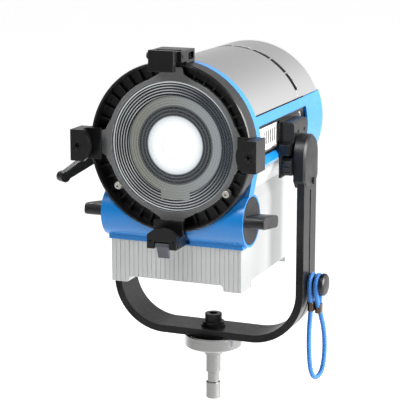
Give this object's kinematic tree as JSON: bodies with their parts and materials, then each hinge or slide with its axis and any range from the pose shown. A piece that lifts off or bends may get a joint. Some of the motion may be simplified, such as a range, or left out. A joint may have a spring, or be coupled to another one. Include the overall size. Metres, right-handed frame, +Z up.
{
  "type": "fresnel spotlight",
  "caption": "Studio fresnel spotlight: a round head with a stepped lens on a sliding balance carriage in a U-shaped yoke with a stand pin.",
  "frame": {"origin": "on the stand pin's axis, in the plane of the shoulder that rests on a stand", "axes": "+Z up along the pin's axis, the light leaves along -Y, +X is the side of the wrist strap"},
  "size_m": [0.2803, 0.2825, 0.3895],
  "materials": {
    "blue_paint": "satin blue powder coat",
    "silver_paint": "fine-textured silver paint",
    "black_paint": "satin black paint",
    "black_metal": "black anodised, brushed along the bar",
    "black_plastic": "fine-grained black plastic",
    "grey_plastic": "grained dark grey plastic",
    "retainer_grey": "matt grey paint",
    "polished_steel": "turned and polished steel",
    "dark_steel": "black oxide steel",
    "lens_glass": "stepped clear glass with a stippled back",
    "side_label": "satin silver plate",
    "screen_glass": "dark glossy window",
    "belt_rubber": "toothed black rubber",
    "bare_aluminium": "bare machined aluminium",
    "board": "white solder mask with yellow emitters",
    "diffuser_plastic": "frosted white plastic",
    "brass": "bare brass",
    "strap_braid": "tightly braided blue cord",
    "strap_crimp": "copper-plated crimp",
    "knob_grey": "dark grey knob with a worn light rim"
  },
  "bodies": {
    "yoke": {"yoke_bar": "black_metal", "pivot_bushes": "brass", "yoke_caps": "black_plastic", "yoke_screws": "dark_steel", "bolt_washer": "dark_steel", "stand_spigot": "polished_steel", "strap_post": "black_plastic", "strap_cord": "strap_braid", "strap_ferrules": "strap_crimp"},
    "carriage": {"pivot_bracket_right": "black_paint", "pivot_bracket_left": "black_paint", "pivot_shafts": "polished_steel", "bracket_screws": "dark_steel"},
    "head": {"accessory_ring": "black_paint", "lens_retainer": "retainer_grey", "fresnel_lens": "lens_glass", "retainer_screws": "polished_steel", "accessory_screws": "dark_steel", "accessory_bracket_right": "black_paint", "accessory_bracket_left": "black_paint", "accessory_bracket_bottom": "black_paint", "latch_base": "black_paint", "hinge_pins": "dark_steel", "front_casting": "blue_paint", "top_cover": "silver_paint", "rear_top_cover": "silver_paint", "vent_baffle": "black_metal", "side_frames": "blue_paint", "side_rails": "black_paint", "side_plates": "side_label", "lower_housing": "silver_paint", "rear_panel": "black_metal", "power_inlet": "black_plastic", "data_sockets": "dark_steel", "rear_cover": "blue_paint", "control_panel": "black_plastic", "display_window": "screen_glass", "focus_belt": "belt_rubber", "guide_rods": "polished_steel", "rod_support": "bare_aluminium", "fan_frame": "black_plastic", "power_supply": "bare_aluminium"},
    "lever": {"tilt_lever": "black_plastic"},
    "lock_knob": {"slide_lock_knob": "black_plastic"},
    "engine": {"engine_carriage": "bare_aluminium", "led_board": "board", "mixing_cone": "diffuser_plastic", "diffuser": "diffuser_plastic", "heat_sink": "bare_aluminium"},
    "focus_drive": {"focus_shaft": "bare_aluminium", "focus_knobs": "knob_grey"},
    "idler": {"idler_pulley": "bare_aluminium"},
    "latch": {"top_latch": "black_paint"},
    "tab": {"lock_tab": "grey_plastic"},
    "rotor": {"fan_rotor": "black_plastic"},
    "dial_left": {"encoder_left": "knob_grey"},
    "dial_right": {"encoder_right": "knob_grey"},
    "key_1": {"button_1": "grey_plastic"},
    "key_2": {"button_2": "grey_plastic"},
    "key_3": {"button_3": "grey_plastic"}
  },
  "joints": [
    {"name": "tilt", "type": "hinge", "parent": "yoke", "child": "carriage", "pos_m": [0, 0, 0.222], "axis": [1, 0, 0], "range_deg": [-90, 90]},
    {"name": "balance_slide", "type": "slide", "parent": "carriage", "child": "head", "axis": [0, 1, 0], "range_m": [-0.01, 0.03]},
    {"name": "focus_slide", "type": "slide", "parent": "head", "child": "engine", "axis": [0, 1, 0], "range_m": [-0.025, 0.025]},
    {"name": "focus_turn", "type": "hinge", "parent": "head", "child": "focus_drive", "pos_m": [0, -0.0915, 0.171], "axis": [1, 0, 0], "range_deg": [-160, 160]},
    {"name": "idler_turn", "type": "hinge", "parent": "head", "child": "idler", "pos_m": [0.06, 0.05, 0.171], "axis": [1, 0, 0], "range_deg": [-160, 160]},
    {"name": "latch_turn", "type": "hinge", "parent": "head", "child": "latch", "pos_m": [0, -0.124, 0.3325], "axis": [-1, 0, 0], "range_deg": [0, 95], "stiffness_Nm_per_rad": 0.05, "springref_deg": -20.05},
    {"name": "tab_turn", "type": "hinge", "parent": "head", "child": "tab", "pos_m": [0, -0.1359, 0.1498], "axis": [1, 0, 0], "range_deg": [-25, 20]},
    {"name": "fan_spin", "type": "hinge", "parent": "head", "child": "rotor", "pos_m": [0, 0.086, 0.245], "axis": [0, 1, 0], "continuous": true},
    {"name": "dial_left_turn", "type": "hinge", "parent": "head", "child": "dial_left", "pos_m": [-0.034, 0.128, 0.249], "axis": [0, 1, 0], "continuous": true},
    {"name": "dial_right_turn", "type": "hinge", "parent": "head", "child": "dial_right", "pos_m": [0.034, 0.128, 0.249], "axis": [0, 1, 0], "continuous": true},
    {"name": "key_1_press", "type": "slide", "parent": "head", "child": "key_1", "axis": [0, -1, 0], "range_m": [0, 0.0015], "stiffness_N_per_m": 900, "springref_m": -0.0004},
    {"name": "key_2_press", "type": "slide", "parent": "head", "child": "key_2", "axis": [0, -1, 0], "range_m": [0, 0.0015], "stiffness_N_per_m": 900, "springref_m": -0.0004},
    {"name": "key_3_press", "type": "slide", "parent": "head", "child": "key_3", "axis": [0, -1, 0], "range_m": [0, 0.0015], "stiffness_N_per_m": 900, "springref_m": -0.0004},
    {"name": "lock_knob_turn", "type": "hinge", "parent": "carriage", "child": "lock_knob", "pos_m": [0.088, -0.0214, 0.2135], "axis": [1, 0, 0], "range_deg": [-90, 90]},
    {"name": "lever_turn", "type": "hinge", "parent": "yoke", "child": "lever", "pos_m": [0, 0, 0.222], "axis": [1, 0, 0], "range_deg": [-60, 60]}
  ],
  "couplings": [
    {"joint": "focus_turn", "follows": "focus_slide", "rad_per_m": -111.11},
    {"joint": "idler_turn", "follows": "focus_slide", "rad_per_m": -111.11}
  ]
}
